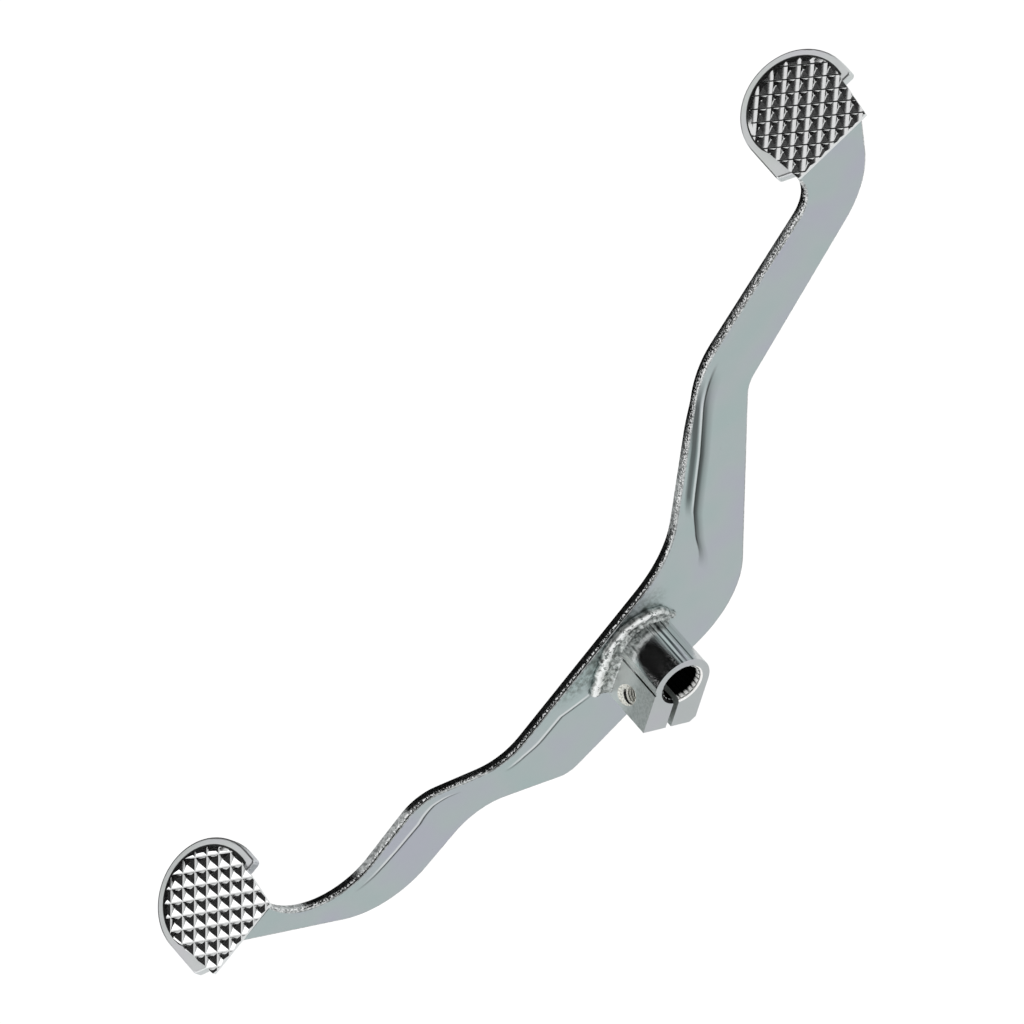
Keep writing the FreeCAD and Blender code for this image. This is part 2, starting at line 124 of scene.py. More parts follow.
# Studio: a white tent round a small product table, with soft dark and bright patches that only the plating shows.
# Each patch is round: the way it lies from the part, the half angles of its core and rim, its level.
tentPlan = {
    "paper": 1.40,
    "tent": 0.95,
    "patches": [
        {"way": (0.05, -0.45, 0.89), "core": 42, "rim": 51, "level": 0.015},
        {"way": (0.74, -0.20, 0.62), "core": 14, "rim": 24, "level": 0.015},
        {"way": (-0.90, -0.05, 0.44), "core": 12, "rim": 24, "level": 1.7},
        {"way": (-0.83, -0.53, 0.10), "core": 12, "rim": 28, "level": 1.6},
        {"way": (0.80, -0.55, 0.22), "core": 10, "rim": 24, "level": 1.6},
    ],
}


def makeTent(plan):
    world = bpy.data.worlds.new("whiteTent")
    bpy.context.scene.world = world
    world.use_nodes = True
    tree = world.node_tree
    tree.nodes.clear()
    ways = addNode(tree, "TexCoord")
    level = None
    for patch in plan["patches"]:
        way = Vector(patch["way"]).normalized()
        toward = addNode(tree, "VectorMath", {"operation": "DOT_PRODUCT", 1: way}, {0: ways.outputs["Generated"]})
        rim, core = (math.cos(math.radians(patch[key])) for key in ("rim", "core"))
        share = addNode(tree, "MapRange", {"interpolation_type": "SMOOTHSTEP", "From Min": rim, "From Max": core},
                        {"Value": toward.outputs["Value"]})
        blend = addNode(tree, "Mix", {2: plan["tent"], 3: patch["level"]}, {0: share})
        if level:
            tree.links.new(level, blend.inputs[2])
        level = blend.outputs[0]
    cards = addNode(tree, "Background", links={"Strength": level})
    paper = addNode(tree, "Background", {"Strength": plan["paper"]})
    rays = addNode(tree, "LightPath")
    both = addNode(tree, "MixShader", links={0: rays.outputs["Is Glossy Ray"], 1: paper, 2: cards})
    addNode(tree, "OutputWorld", links={"Surface": both})
    bpy.context.scene.view_settings.view_transform = "Standard"
    print("tent with", len(plan["patches"]), "patches")


makeTent(tentPlan)

# Studio floor: pale matt paper, well below the lever because its clamp holds it up. The plating shows it greyer.
floorPlan = {"size": 6.0, "drop": 0.30, "colour": "#f7f7f7", "mirrored": "#d8dada", "rough": 0.9}


def makeFloor(plan):
    floor = addShape(bpy.ops.mesh.primitive_plane_add, size=plan["size"], location=(0, 0, -plan["drop"]))
    floor.name = "studioFloor"
    material, tree = newMaterial("paperFloor")
    rays = addNode(tree, "LightPath")
    colour = addNode(tree, "Mix", {"data_type": "RGBA", 6: plan["colour"], 7: plan["mirrored"]},
                     {0: rays.outputs["Is Glossy Ray"]})
    shader = addNode(tree, "BsdfPrincipled", {"Roughness": plan["rough"]}, {"Base Color": colour.outputs[2]})
    floor.data.materials.append(closeMaterial(material, shader))
    print("floor laid")


makeFloor(floorPlan)

# Black cards behind the hub and the pads, as photographers use to put dark lines on bright plating.
# Only the plating sees them.
cardPlan = {
    "colour": "#050505",
    "cards": {
        "hubCard": {"across": (-110.0, 95.0), "up": (30.0, 165.0), "away": 60.0},
        "heelCard": {"across": (-240.0, -90.0), "up": (-60.0, 95.0), "away": 85.0},
        "toeCard": {"across": (95.0, 235.0), "up": (60.0, 140.0), "away": 85.0},
    },
}


def makeCards(plan):
    material, tree = newMaterial("blackFelt")
    shader = addNode(tree, "BsdfPrincipled",
                     {"Base Color": plan["colour"], "Roughness": 1.0, "Specular IOR Level": 0.0})
    closeMaterial(material, shader)
    for name, place in plan["cards"].items():
        (left, right), (low, high) = place["across"], place["up"]
        middle = ((left + right) / 2 * mm, place["away"] * mm, (low + high) / 2 * mm)
        card = addShape(bpy.ops.mesh.primitive_plane_add, size=mm, location=middle, rotation=(math.pi / 2, 0, 0))
        card.name = name
        card.scale = (right - left, high - low, 1)
        card.data.materials.append(material)
        card.visible_camera = card.visible_diffuse = card.visible_shadow = card.visible_transmission = False
    print("cards hung")


makeCards(cardPlan)

# Satin chrome on pressed sheet: a soft grey mirror with faint green and violet patches in the plating.
# Round the weld it is stained. Along a crease, bands of painted shade and painted highlight stand in for the crease's
# reflections: painted shade where the crease attribute is below zero, painted highlight where it is above. The pads
# and the ring of the boss have the same plating, paler. Sizes are in mm.
satinPlans = {
    "satinChromeSheet": {"tones": ("#b6c5c4", "#bcc5c6", "#bec0ca"), "patchSize": 34, "grainSize": 1.6,
                         "rough": 0.30, "creaseShades": ("#323736", "#f6f8f8"), "stainShade": "#69716d"},
    "satinChromePad": {"tones": ("#dde1df", "#dfe2e2", "#dfdfe3"), "patchSize": 20, "grainSize": 1.2, "rough": 0.32},
    "satinChromeRing": {"tones": ("#c4c8c8", "#c6c9ca", "#c7c7cc"), "patchSize": 20, "grainSize": 1.2, "rough": 0.32},
}


def makeSatinChrome(name, plan):
    material, tree = newMaterial(name)
    place = addNode(tree, "TexCoord").outputs["Object"]
    patch = addNode(tree, "TexNoise",
                    {"Scale": 1 / (plan["patchSize"] * mm), "Detail": 2.0, "Roughness": 0.6}, {"Vector": place})
    grain = addNode(tree, "TexNoise",
                    {"Scale": 1 / (plan["grainSize"] * mm), "Detail": 4.0, "Roughness": 0.65}, {"Vector": place})
    tint = addNode(tree, "ValToRGB", {"stops": list(zip((0.36, 0.5, 0.64), plan["tones"]))}, {"Fac": patch})
    if "stainShade" in plan:
        stain = addNode(tree, "Attribute", {"attribute_name": "weldStain"})
        spots = addNode(tree, "MapRange", {"From Min": 0.40, "From Max": 0.60}, {"Value": grain})
        share = addNode(tree, "Math", {"operation": "MULTIPLY"}, {0: stain.outputs["Fac"], 1: spots})
        mixed = addNode(tree, "Mix", {"data_type": "RGBA", 7: plan["stainShade"]}, {0: share, 6: tint})
        tint = mixed.outputs[2]
    # Painted shade and painted highlight along the crease, mixed into the base colour from the crease attribute.
    for shade, most in zip(plan.get("creaseShades", ()), (-1.0, 1.0)):
        tone = addNode(tree, "Attribute", {"attribute_name": "creaseTone"})
        share = addNode(tree, "MapRange", {"From Min": 0.0, "From Max": most}, {"Value": tone.outputs["Fac"]})
        mixed = addNode(tree, "Mix", {"data_type": "RGBA", 7: shade}, {0: share, 6: tint})
        tint = mixed.outputs[2]
    gloss = addNode(tree, "MapRange", {"To Min": plan["rough"] - 0.06, "To Max": plan["rough"] + 0.06},
                    {"Value": grain})
    skin = addNode(tree, "Bump", {"Strength": 0.06, "Distance": 0.1 * mm}, {"Height": grain})
    shader = addNode(tree, "BsdfPrincipled", {"Metallic": 1.0},
                     {"Base Color": tint, "Roughness": gloss, "Normal": skin})
    return closeMaterial(material, shader)


armChrome, padChrome, ringChrome = (makeSatinChrome(name, plan) for name, plan in satinPlans.items())

# Sheared sheet edge under chrome: smooth where the die rolled it, then a row of bright torn specks, then a dark
# broken band. The specks lie along one depth of the sheet, and higher up the arm they spread over the whole edge.
shearedPlan = {
    "tearSize": 1.3,
    "speckSize": 0.55,
    "dark": "#7c7f7f",
    "light": "#c9cccc",
    "speck": "#f4f5f5",
    "speckRow": 0.8,
    "speckWide": (0.6, 1.5),
    "tornHeight": (26.0, 42.0),
}


def makeShearedChrome(plan):
    material, tree = newMaterial("shearedChromeEdge")
    place = addNode(tree, "TexCoord").outputs["Object"]
    tear = addNode(tree, "TexNoise",
                   {"Scale": 1 / (plan["tearSize"] * mm), "Detail": 5.0, "Roughness": 0.7}, {"Vector": place})
    speck = addNode(tree, "TexNoise",
                    {"Scale": 1 / (plan["speckSize"] * mm), "Detail": 2.0, "Roughness": 0.6}, {"Vector": place})
    colour = addNode(tree, "ValToRGB", {"stops": [(0.40, plan["dark"]), (0.60, plan["light"])]}, {"Fac": tear})
    axes = addNode(tree, "SeparateXYZ", links={"Vector": place})
    (narrow, wide), (low, high) = plan["speckWide"], plan["tornHeight"]
    reach = addNode(tree, "MapRange",
                    {"From Min": low * mm, "From Max": high * mm, "To Min": narrow * mm, "To Max": wide * mm},
                    {"Value": axes.outputs["Z"]})
    aside = addNode(tree, "Math", {"operation": "SUBTRACT", 1: plan["speckRow"] * mm}, {0: axes.outputs["Y"]})
    away = addNode(tree, "Math", {"operation": "ABSOLUTE"}, {0: aside})
    row = addNode(tree, "MapRange", {"From Max": 0.1 * mm}, {"Value": away, "From Min": reach})
    torn = addNode(tree, "MapRange", {"From Min": 0.50, "From Max": 0.56}, {"Value": speck})
    bright = addNode(tree, "Math", {"operation": "MULTIPLY"}, {0: row, 1: torn})
    tint = addNode(tree, "Mix", {"data_type": "RGBA", 7: plan["speck"]}, {0: bright, 6: colour})
    metal = addNode(tree, "MapRange", {"To Min": 1.0, "To Max": 0.15}, {"Value": bright})
    coarse = addNode(tree, "Bump", {"Strength": 0.14, "Distance": 0.4 * mm}, {"Height": tear})
    fine = addNode(tree, "Bump", {"Strength": 0.12, "Distance": 0.2 * mm}, {"Height": speck, "Normal": coarse})
    shader = addNode(tree, "BsdfPrincipled", {"Roughness": 0.12},
                     {"Base Color": tint.outputs[2], "Metallic": metal, "Normal": fine})
    return closeMaterial(material, shader)


shearedChrome = makeShearedChrome(shearedPlan)

# Drawn bar under bright chrome: fine streaks along the boss, some of them dark, in a lightly pitted skin.
drawnPlan = {"streakWide": 1.1, "streakLong": 60.0, "pitSize": 0.7, "light": "#dfe1e1", "dark": "#55585a",
             "rough": 0.08}


def makeDrawnChrome(plan):
    material, tree = newMaterial("drawnChromeBoss")
    place = addNode(tree, "TexCoord").outputs["Object"]
    wide, long = 1 / (plan["streakWide"] * mm), 1 / (plan["streakLong"] * mm)
    stretch = addNode(tree, "Mapping", {"Scale": (wide, long, wide)}, {"Vector": place})
    streak = addNode(tree, "TexNoise", {"Scale": 1.0, "Detail": 3.0, "Roughness": 0.6}, {"Vector": stretch})
    pits = addNode(tree, "TexNoise",
                   {"Scale": 1 / (plan["pitSize"] * mm), "Detail": 4.0, "Roughness": 0.7}, {"Vector": place})
    colour = addNode(tree, "ValToRGB", {"stops": [(0.34, plan["dark"]), (0.46, plan["light"])]}, {"Fac": streak})
    lines = addNode(tree, "Bump", {"Strength": 0.5, "Distance": 0.12 * mm}, {"Height": streak})
    skin = addNode(tree, "Bump", {"Strength": 0.25, "Distance": 0.15 * mm}, {"Height": pits, "Normal": lines})
    gloss = addNode(tree, "MapRange", {"To Min": plan["rough"] - 0.05, "To Max": plan["rough"] + 0.08},
                    {"Value": pits})
    shader = addNode(tree, "BsdfPrincipled", {"Metallic": 1.0},
                     {"Base Color": colour, "Roughness": gloss, "Normal": skin})
    return closeMaterial(material, shader)


drawnChrome = makeDrawnChrome(drawnPlan)

# Milled flat of the ear under chrome: a pitted, uneven grey that mirrors little, brighter towards the arm.
pittedPlan = {"pitSize": 0.9, "dark": "#959b98", "light": "#b3b7b5", "bright": "#e2e6e4",
              "brightDepth": (-12.0, -4.0), "metal": 0.8, "rough": 0.42}


def makePittedChrome(plan):
    material, tree = newMaterial("pittedChromeFlat")
    place = addNode(tree, "TexCoord").outputs["Object"]
    pits = addNode(tree, "TexNoise",
                   {"Scale": 1 / (plan["pitSize"] * mm), "Detail": 5.0, "Roughness": 0.7}, {"Vector": place})
    colour = addNode(tree, "ValToRGB", {"stops": [(0.34, plan["dark"]), (0.58, plan["light"])]}, {"Fac": pits})
    axes = addNode(tree, "SeparateXYZ", links={"Vector": place})
    front, back = plan["brightDepth"]
    near = addNode(tree, "MapRange", {"From Min": front * mm, "From Max": back * mm}, {"Value": axes.outputs["Y"]})
    tint = addNode(tree, "Mix", {"data_type": "RGBA", 7: plan["bright"]}, {0: near, 6: colour})
    skin = addNode(tree, "Bump", {"Strength": 0.16, "Distance": 0.15 * mm}, {"Height": pits})
    shader = addNode(tree, "BsdfPrincipled", {"Metallic": plan["metal"], "Roughness": plan["rough"]},
                     {"Base Color": tint.outputs[2], "Normal": skin})
    return closeMaterial(material, shader)


pittedChrome = makePittedChrome(pittedPlan)

# Weld metal under chrome: grey rippled lumps, with a painted highlight along the bead's crest, and a few dark
# pinholes.
beadPlan = {"lumpSize": 1.4, "dark": "#6f7573", "light": "#d5d9d7", "crest": "#f6f8f7", "rough": 0.3}


def makeWeldChrome(plan):
    material, tree = newMaterial("platedWeldBead")
    place = addNode(tree, "TexCoord").outputs["Object"]
    lumps = addNode(tree, "TexNoise",
                    {"Scale": 1 / (plan["lumpSize"] * mm), "Detail": 4.0, "Roughness": 0.65}, {"Vector": place})
    colour = addNode(tree, "ValToRGB", {"stops": [(0.36, plan["dark"]), (0.60, plan["light"])]}, {"Fac": lumps})
    # Painted highlight along the bead's crest: a pale, less metallic colour.
    crest = addNode(tree, "Attribute", {"attribute_name": "beadCrest"})
    crestHighlight = addNode(tree, "MapRange", {"From Min": 0.6, "From Max": 0.82}, {"Value": crest.outputs["Fac"]})
    pits = addNode(tree, "MapRange", {"From Min": 0.40, "From Max": 0.46}, {"Value": lumps})
    bright = addNode(tree, "Math", {"operation": "MULTIPLY"}, {0: crestHighlight, 1: pits})
    tint = addNode(tree, "Mix", {"data_type": "RGBA", 7: plan["crest"]}, {0: bright, 6: colour})
    metal = addNode(tree, "MapRange", {"To Min": 0.9, "To Max": 0.35}, {"Value": bright})
    skin = addNode(tree, "Bump", {"Strength": 0.2, "Distance": 0.3 * mm}, {"Height": lumps})
    shader = addNode(tree, "BsdfPrincipled", {"Roughness": plan["rough"]},
                     {"Base Color": tint.outputs[2], "Metallic": metal, "Normal": skin})
    return closeMaterial(material, shader)


weldChrome = makeWeldChrome(beadPlan)

# Bore of the boss: painted light near its mouth on one side, on the lands of the teeth and the lead-in, as a pale,
# nearly matt colour, and painted shade in black in the roots and deeper in. Radii and depths are in mm.
borePlan = {
    "mouth": -19.4,
    "bright": 1.6,
    "fade": 0.8,
    "litSideWay": (0.45, 0.0, -0.89),
    "litSideFrom": 0.5,
    "litSideTo": 2.0,
    "rootAt": 6.72,
    "landAt": 6.5,
    "leadAt": 6.95,
    "light": "#fafaf8",
    "dark": "#0b0b0b",
    "rough": 0.4,
}


def makeBoreSteel(plan):
    material, tree = newMaterial("boreSteelPaintedLightAndShade")
    place = addNode(tree, "TexCoord").outputs["Object"]
    depth = addNode(tree, "SeparateXYZ", links={"Vector": place}).outputs["Y"]
    deep = (plan["mouth"] + plan["bright"]) * mm
    # Painted shade deeper in the bore; painted light only near the mouth, on one side, on the lands and the lead-in.
    front = addNode(tree, "MapRange", {"From Min": deep + plan["fade"] * mm, "From Max": deep}, {"Value": depth})
    side = addNode(tree, "VectorMath", {"operation": "DOT_PRODUCT", 1: plan["litSideWay"]}, {0: place})
    litSide = addNode(tree, "MapRange", {"From Min": plan["litSideFrom"] * mm, "From Max": plan["litSideTo"] * mm},
                   {"Value": side.outputs["Value"]})
    flat = addNode(tree, "VectorMath", {"operation": "MULTIPLY", 1: (1, 0, 1)}, {0: place})
    radius = addNode(tree, "VectorMath", {"operation": "LENGTH"}, {0: flat})
    land, lead = (addNode(tree, "MapRange", {"From Min": plan["rootAt"] * mm, "From Max": plan[key] * mm},
                          {"Value": radius.outputs["Value"]}) for key in ("landAt", "leadAt"))
    bare = addNode(tree, "Math", {"operation": "MAXIMUM"}, {0: land, 1: lead})
    mouth = addNode(tree, "Math", {"operation": "MULTIPLY"}, {0: front, 1: bare})
    share = addNode(tree, "Math", {"operation": "MULTIPLY"}, {0: mouth, 1: litSide})
    colour = addNode(tree, "Mix", {"data_type": "RGBA", 6: plan["dark"], 7: plan["light"]}, {0: share})
    metal = addNode(tree, "MapRange", {"To Min": 1.0, "To Max": 0.05}, {"Value": share})
    shader = addNode(tree, "BsdfPrincipled", {"Roughness": plan["rough"]},
                     {"Base Color": colour.outputs[2], "Metallic": metal})
    return closeMaterial(material, shader)


boreSteel = makeBoreSteel(borePlan)

# Tapped thread and its countersink, cut after plating: bare cream-grey steel, nearly matt, with fine tool chatter.
tappedPlan = {"chatterSize": 0.5, "dark": "#9a9b92", "light": "#f0f0e8", "rough": 0.35}


def makeThreadSteel(plan):
    material, tree = newMaterial("cutThreadSteel")
    place = addNode(tree, "TexCoord").outputs["Object"]
    chatter = addNode(tree, "TexNoise",
                      {"Scale": 1 / (plan["chatterSize"] * mm), "Detail": 3.0, "Roughness": 0.6}, {"Vector": place})
    colour = addNode(tree, "ValToRGB", {"stops": [(0.35, plan["dark"]), (0.55, plan["light"])]}, {"Fac": chatter})
    shader = addNode(tree, "BsdfPrincipled", {"Metallic": 0.0, "Roughness": plan["rough"]}, {"Base Color": colour})
    return closeMaterial(material, shader)


threadSteel = makeThreadSteel(tappedPlan)

# Painted shade where shade falls, in seams, deep holes and grooves: dull black.
paintedShadePlan = {"colour": "#1c1e1d", "rough": 0.6}

# Pressed knurling under bright chrome: near mirror faces with a slight waviness left by the die.
# Grooves between rows get painted shade where rowPlace nears one, at the edge of a stud's own square.
knurlPlan = {"waveSize": 1.5, "chrome": "#f6f7f7", "rough": 0.12, "grooveShadeEdge": (0.88, 0.92)}


def makeKnurlChrome(plan, grooveShade):
    material, tree = newMaterial("brightChromeKnurl")
    place = addNode(tree, "TexCoord").outputs["Object"]
    wave = addNode(tree, "TexNoise",
                   {"Scale": 1 / (plan["waveSize"] * mm), "Detail": 3.0, "Roughness": 0.6}, {"Vector": place})
    skin = addNode(tree, "Bump", {"Strength": 0.08, "Distance": 0.15 * mm}, {"Height": wave})
    # Painted shade in the grooves at the edge of each stud's square.
    row = addNode(tree, "Attribute", {"attribute_name": "rowPlace"})
    away = addNode(tree, "Math", {"operation": "ABSOLUTE"}, {0: row.outputs["Fac"]})
    clean, black = plan["grooveShadeEdge"]
    share = addNode(tree, "MapRange", {"From Min": clean, "From Max": black}, {"Value": away})
    tint = addNode(tree, "Mix", {"data_type": "RGBA", 6: plan["chrome"], 7: grooveShade["colour"]}, {0: share})
    gloss = addNode(tree, "MapRange", {"To Min": plan["rough"], "To Max": grooveShade["rough"]}, {"Value": share})
    shader = addNode(tree, "BsdfPrincipled", {"Metallic": 1.0},
                     {"Base Color": tint.outputs[2], "Roughness": gloss, "Normal": skin})
    return closeMaterial(material, shader)


knurlChrome = makeKnurlChrome(knurlPlan, paintedShadePlan)


def makePaintedShadeBlack(plan):
    material, tree = newMaterial("paintedShadeBlack")
    shader = addNode(tree, "BsdfPrincipled", {"Base Color": plan["colour"], "Roughness": plan["rough"]})
    return closeMaterial(material, shader)


paintedShadeBlack = makePaintedShadeBlack(paintedShadePlan)
print("materials made")


def onlySelect(piece):
    bpy.ops.object.select_all(action="DESELECT")
    piece.select_set(True)
    bpy.context.view_layer.objects.active = piece


def applyModifier(piece, kind, settings):
    onlySelect(piece)
    modifier = piece.modifiers.new(kind.lower(), kind)
    for name, setting in settings.items():
        setattr(modifier, name, setting)
    bpy.ops.object.modifier_apply(modifier=modifier.name)


def cutWith(piece, cutter, operation="DIFFERENCE"):
    applyModifier(piece, "BOOLEAN", {"object": cutter, "operation": operation, "solver": "EXACT"})
    bpy.data.objects.remove(cutter)


# Merge is a distance in mm, flatten the angle in degrees under which faces are joined into one.
def cleanMesh(piece, merge=0.0, flatten=0.0, fillSides=None):
    onlySelect(piece)
    bpy.ops.object.mode_set(mode="EDIT")
    bpy.ops.mesh.select_all(action="SELECT")
    if merge:
        bpy.ops.mesh.remove_doubles(threshold=merge * mm)
    if fillSides is not None:
        bpy.ops.mesh.fill_holes(sides=fillSides)
    if flatten:
        bpy.ops.mesh.dissolve_limited(angle_limit=math.radians(flatten))
    else:
        bpy.ops.mesh.normals_make_consistent(inside=False)
    bpy.ops.object.mode_set(mode="OBJECT")


def addGrid(name, columns, rows):
    piece = addShape(bpy.ops.mesh.primitive_grid_add, x_subdivisions=columns, y_subdivisions=rows, size=1.0)
    piece.name = piece.data.name = name
    flat = np.empty(len(piece.data.vertices) * 3)
    piece.data.vertices.foreach_get("co", flat)
    flat = flat.reshape(-1, 3)
    column = np.rint((flat[:, 0] + 0.5) * columns).astype(int)
    row = np.rint((flat[:, 1] + 0.5) * rows).astype(int)
    return piece, column, row


def addCone(sides, lowRadius, highRadius, deep):
    return addShape(bpy.ops.mesh.primitive_cone_add, vertices=sides, radius1=lowRadius * mm,
                    radius2=highRadius * mm, depth=deep * mm)


def atPlace(x, y, z):
    return Matrix.Translation((x * mm, y * mm, z * mm))


def placeVertices(piece, places):
    piece.data.vertices.foreach_set("co", (places * mm).ravel())
    piece.data.update()


def addValues(piece, name, domain, values):
    piece.data.attributes.new(name, "FLOAT", domain).data.foreach_set("value", values)


def alongPlan(pairs, at):
    return np.interp(at, [pair[0] for pair in pairs], [pair[1] for pair in pairs])


def shadeByAngle(piece, degrees):
    onlySelect(piece)
    bpy.ops.object.shade_smooth_by_angle(angle=math.radians(degrees))
    applyModifier(piece, "WEIGHTED_NORMAL", {"weight": 90, "keep_sharp": True})


def fitPiece(piece, slot, *nodes):
    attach(piece, "root")
    if nodes:
        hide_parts(*nodes)
    print(piece.name, len(piece.data.polygons), "faces")


# Lever arm: 3 mm sheet between two edge lines, given as corners (x, z) with the radius of each bend, heel end first.
# A crease runs inside the top edge, where the press turned a stiffening strip. Its path is given as (bends passed
# along the arm, mm from the top edge), and so are its height and the strength of its painted shade and painted
# highlight bands. Its section and the spread of each painted band are given as (mm across from the crease, share).
armPlan = {
    "topEdge": [(-129.9, 51.0, 0), (-128.2, 22.3, 24), (-77.9, 30.5, 15), (-54.5, 10.5, 20),
                (25.9, 21.3, 41), (78.3, 77.1, 45), (143.9, 98.2, 15), (145.8, 109.4, 0)],
    "lowEdge": [(-143.4, 48.9, 0), (-111.9, 2.5, 30), (-70.6, 6.4, 22), (-46.9, -17.6, 9),
                (27.8, -20.4, 34), (84.8, 55.1, 14), (157.0, 82.2, 42), (171.7, 107.0, 0)],
    "thickness": 3.0,
    "spanColumns": 44,
    "bendSteps": 24,
    "crease": [(0.0, 5.0), (1.2, 5.2), (1.4, 5.0), (1.57, 5.8), (1.82, 6.5), (2.0, 5.0), (2.15, 5.3), (2.27, 5.9),
               (2.6, 6.0), (2.88, 5.4), (3.05, 5.0), (3.12, 6.2), (3.25, 6.5), (3.38, 11.8), (3.7, 15.0), (4.04, 17.0),
               (4.10, 15.4), (4.17, 11.0), (4.3, 7.5), (4.4, 6.9), (4.6, 6.1), (4.85, 4.0), (5.03, 3.6), (7.0, 5.0)],
    "creaseHeight": [(0.0, 0.0), (1.15, 0.0), (1.4, 0.35), (2.1, 0.35), (2.3, 0.0), (2.85, 0.0), (3.05, 0.3),
                     (3.3, 0.3), (3.4, 0.0), (4.06, 0.0), (4.2, 0.5), (4.85, 0.7), (5.08, 0.0), (7.0, 0.0)],
    "creaseSection": [(-4.0, 0.0), (-0.5, 1.0), (-0.15, 0.9), (0.15, 0.1), (0.5, -0.12), (2.0, -0.06), (3.5, 0.0)],
    "band": [(0.0, 0.0), (4.26, 0.0), (4.36, 0.75), (4.85, 0.8), (5.0, 0.0), (7.0, 0.0)],
    "bandSpread": [(-4.8, 0.0), (-3.9, 1.0), (-1.9, 1.0), (-1.3, 0.0)],
    "shade": [(0.0, 0.0), (4.05, 0.0), (4.15, 0.7), (4.3, 0.97), (4.6, 0.97), (4.85, 0.8), (5.05, 0.0), (7.0, 0.0)],
    "shadeSpread": [(0.0, 0.0), (0.4, 1.0), (1.8, 0.85), (3.0, 0.4), (5.5, 0.0)],
    "glow": [(0.0, 0.0), (1.25, 0.0), (1.45, 0.9), (2.1, 0.8), (2.26, 0.0), (2.9, 0.0), (3.05, 0.9), (3.34, 0.9),
             (3.42, 0.0), (4.25, 0.0), (4.35, 0.6), (4.85, 0.7), (4.98, 0.0), (7.0, 0.0)],
    "glowSpread": [(-1.4, 0.0), (-0.9, 1.0), (-0.5, 1.0), (-0.2, 0.0)],
    "lineSpread": [(-0.5, 0.0), (-0.1, 1.0), (0.6, 1.0), (1.1, 0.0)],
    "lineFullHeight": 0.35,
    "aboveRows": (0.35, 0.5, 0.65, 0.82),
    "nearRows": (-1.6, -1.0, -0.6, -0.3, 0.0, 0.3, 0.6, 1.2, 1.8, 3.0, 5.5),
    "leastRoom": 0.1,
    "farRows": 11,
    "edgeRow": 1.5,
    "spindleHole": 7.5,
    "holeSides": 72,
    "drillLong": 14.0,
    "edgeRound": 0.3,
    "roundSteps": 2,
    "roundAngle": 50,
    "smoothAngle": 40,
    "dieRoll": 0.6,
    "dieRollSteps": 4,
    "endSlack": 0.05,
    "stain": {"middle": (-7.0, 13.5), "long": 26.0, "wide": 9.0, "fall": 3.0, "share": 0.75},
}


# Each corner's arc is split at its middle, so that both edges pass a bend at the same station.
def bendArcs(corners, steps):
    halves = []
    for index, (x, z, radius) in enumerate(corners):
        point = np.array([x, z], float)
        if radius == 0:
            halves.append((point[None], point[None]))
            continue
        ways = [np.array(corners[near][:2]) - point for near in (index - 1, index + 1)]
        before, after = (way / np.linalg.norm(way) for way in ways)
        half = math.acos(before @ after) / 2
        middle = point + (before + after) / np.linalg.norm(before + after) * radius / math.sin(half)
        start = point + before * radius / math.tan(half) - middle
        end = point + after * radius / math.tan(half) - middle
        turn = math.atan2(start[0] * end[1] - start[1] * end[0], start @ end)
        angles = np.linspace(0, turn, 2 * steps + 1)
        arc = middle + np.stack([np.cos(angles) * start[0] - np.sin(angles) * start[1],
                                 np.sin(angles) * start[0] + np.cos(angles) * start[1]], -1)
        halves.append((arc[:steps + 1], arc[steps:]))
    return halves


def edgeStations(corners, plan):
    halves = bendArcs(corners, plan["bendSteps"])
    stations = []
    for (_, leaving), (arriving, _) in zip(halves, halves[1:]):
        line = np.concatenate([leaving, arriving])
        length = np.concatenate([[0], np.cumsum(np.linalg.norm(np.diff(line, axis=0), axis=1))])
        steps = np.linspace(0, length[-1], plan["spanColumns"] + 1)[:-1]
        stations.append(np.stack([np.interp(steps, length, line[:, axis]) for axis in (0, 1)], -1))
    stations.append(np.array([corners[-1][:2]], float))
    return np.concatenate(stations)


# The die rolls the blank's front edges over. The two cut ends under the pads stay square.
def rollEdges(piece, plan, *ends):
    mesh = piece.data
    sides = {}
    for face in mesh.polygons:
        side = "rim" if face.material_index == 1 else "front" if face.normal.y < -0.5 else "back"
        for key in face.edge_keys:
            sides.setdefault(key, set()).add(side)
    onlySelect(piece)
    bpy.ops.object.mode_set(mode="EDIT")
    bpy.ops.mesh.select_mode(type="EDGE")
    bpy.ops.mesh.select_all(action="DESELECT")
    bpy.ops.object.mode_set(mode="OBJECT")
    for edge in mesh.edges:
        if sides[tuple(sorted(edge.vertices))] != {"rim", "front"}:
            continue
        middle = sum((mesh.vertices[v].co for v in edge.vertices), Vector()) / (2 * mm)
        edge.select = True
        for start, end in ends:
            run, way = end - start, np.array([middle.x, middle.z]) - start
            if abs(run[0] * way[1] - run[1] * way[0]) / np.linalg.norm(run) < plan["endSlack"]:
                edge.select = False
    bpy.ops.object.mode_set(mode="EDIT")
    bpy.ops.mesh.bevel(offset=plan["dieRoll"] * mm, segments=plan["dieRollSteps"], affect="EDGES",
                       clamp_overlap=False, material=1)
    bpy.ops.object.mode_set(mode="OBJECT")


